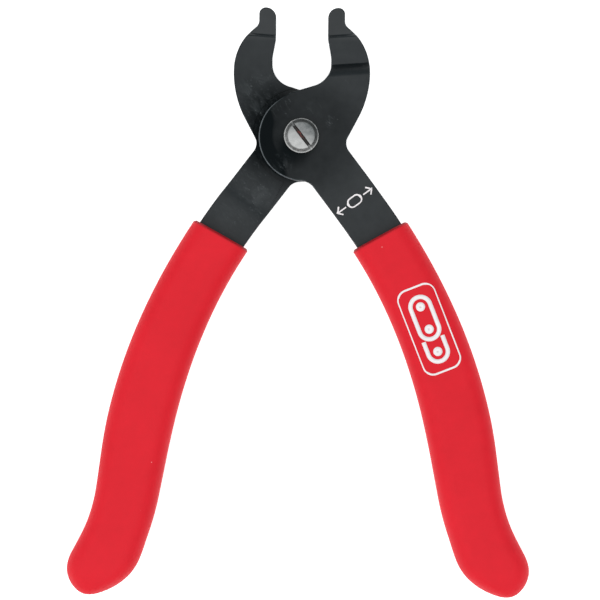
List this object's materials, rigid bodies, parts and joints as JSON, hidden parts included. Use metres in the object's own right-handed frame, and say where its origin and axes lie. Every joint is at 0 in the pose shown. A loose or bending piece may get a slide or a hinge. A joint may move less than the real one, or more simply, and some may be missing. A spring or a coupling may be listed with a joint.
{
  "type": "chain link pliers",
  "caption": "Pliers with hooked jaws that spread when the handles are squeezed, to pull a bicycle chain's joining link closed, with a slotted pivot screw and soft sleeves on the arms.",
  "frame": {"origin": "on the pivot axis, at the flat end of the pivot screw, which is level with the undersides of the grips", "axes": "+Y from the pivot towards the jaw tips, +Z along the pivot axis towards the slotted head, +X towards the front lever's arm; the tool lies flat on its grips"},
  "size_m": [0.1444, 0.1841, 0.014],
  "materials": {
    "black_steel": "satin black oxide",
    "plated_steel": "bright nickel plate",
    "bronze": "plain",
    "red_sleeve": "matt, fine grain"
  },
  "bodies": {
    "rear_half": {"rear_lever": "black_steel", "rear_grip": "red_sleeve", "pivot_screw": "plated_steel", "thrust_washer": "bronze", "back_washer": "plated_steel", "lock_nut": "plated_steel"},
    "front_half": {"front_lever": "black_steel", "front_grip": "red_sleeve"}
  },
  "joints": [
    {"name": "pivot", "type": "hinge", "parent": "rear_half", "child": "front_half", "pos_m": [0, 0, 0.007], "axis": [0, 0, -1], "range_deg": [-24, 38]}
  ]
}
